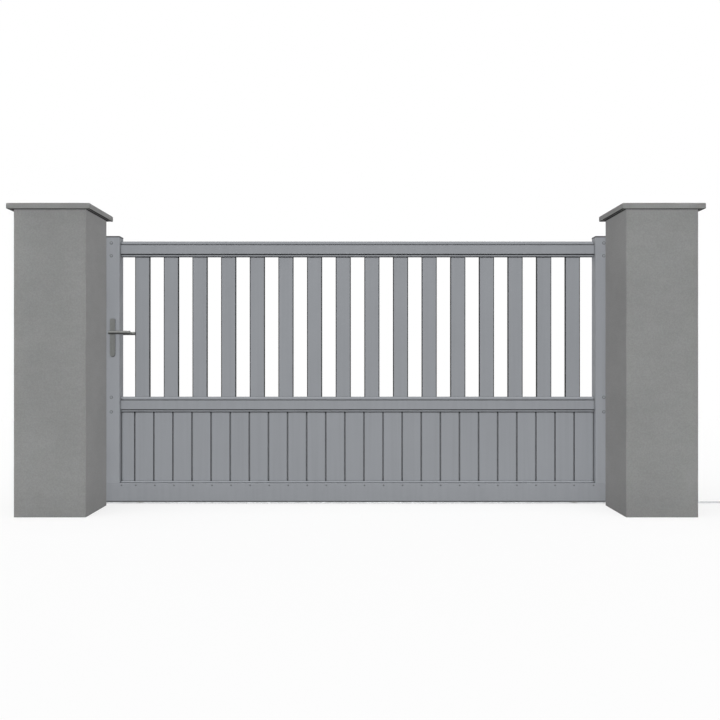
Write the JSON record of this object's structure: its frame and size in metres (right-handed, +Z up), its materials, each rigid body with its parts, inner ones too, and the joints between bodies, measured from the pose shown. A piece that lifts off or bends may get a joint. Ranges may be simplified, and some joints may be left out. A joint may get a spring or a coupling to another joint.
{
  "type": "sliding driveway gate",
  "caption": "Sliding driveway gate: grey aluminium leaf with open slats above and boards below, lever handle, rolling on a ground track behind two capped masonry pillars.",
  "frame": {"origin": "on the ground at the middle of the driveway opening, on the centre line of the track, under the track's flat underside", "axes": "+X along the track towards the side the leaf opens to, +Y from the street into the property, +Z up"},
  "size_m": [6.437, 0.616, 1.74],
  "materials": {
    "render": "smooth cement render",
    "coping": "cast concrete",
    "coated_aluminium": "satin powder coat",
    "galvanised": "galvanised",
    "bright_steel": "zinc plated",
    "buffer_rubber": "matte",
    "nylon": "matte",
    "cap_plastic": "matte",
    "handle_plate": "satin anodised",
    "lever": "satin anodised"
  },
  "bodies": {
    "posts": {"left_pillar": "render", "left_pillar_cap": "coping", "right_pillar": "render", "right_pillar_cap": "coping", "ground_track": "galvanised", "open_stop": "galvanised", "stop_buffer": "buffer_rubber", "lower_catch": "galvanised", "upper_catch": "galvanised", "guide_bracket": "galvanised", "guide_rollers": "nylon", "guide_bolts": "galvanised"},
    "leaf": {"left_stile": "coated_aluminium", "right_stile": "coated_aluminium", "stile_caps": "cap_plastic", "top_rail": "coated_aluminium", "top_rail_cover": "coated_aluminium", "mid_rail": "coated_aluminium", "bottom_rail": "coated_aluminium", "bottom_rail_end_caps": "cap_plastic", "slat_01": "coated_aluminium", "slat_02": "coated_aluminium", "slat_03": "coated_aluminium", "slat_04": "coated_aluminium", "slat_05": "coated_aluminium", "slat_06": "coated_aluminium", "slat_07": "coated_aluminium", "slat_08": "coated_aluminium", "slat_09": "coated_aluminium", "slat_10": "coated_aluminium", "slat_11": "coated_aluminium", "slat_12": "coated_aluminium", "slat_13": "coated_aluminium", "slat_14": "coated_aluminium", "slat_15": "coated_aluminium", "slat_16": "coated_aluminium", "lower_boards": "coated_aluminium", "guide_channel": "coated_aluminium", "left_wheel": "bright_steel", "right_wheel": "bright_steel", "left_wheel_carrier": "galvanised", "right_wheel_carrier": "galvanised", "wheel_axles": "galvanised", "front_handle_plate": "handle_plate", "back_handle_plate": "handle_plate"},
    "lever": {"front_lever": "lever", "back_lever": "lever", "lever_spindle": "bright_steel"}
  },
  "joints": [
    {"name": "gate_slide", "type": "slide", "parent": "posts", "child": "leaf", "axis": [1, 0, 0], "range_m": [0, 2.84]},
    {"name": "lever_turn", "type": "hinge", "parent": "leaf", "child": "lever", "pos_m": [-1.474, 0, 1.039], "axis": [0, 1, 0], "range_deg": [0, 40], "stiffness_Nm_per_rad": 1, "springref_deg": -45.84}
  ]
}
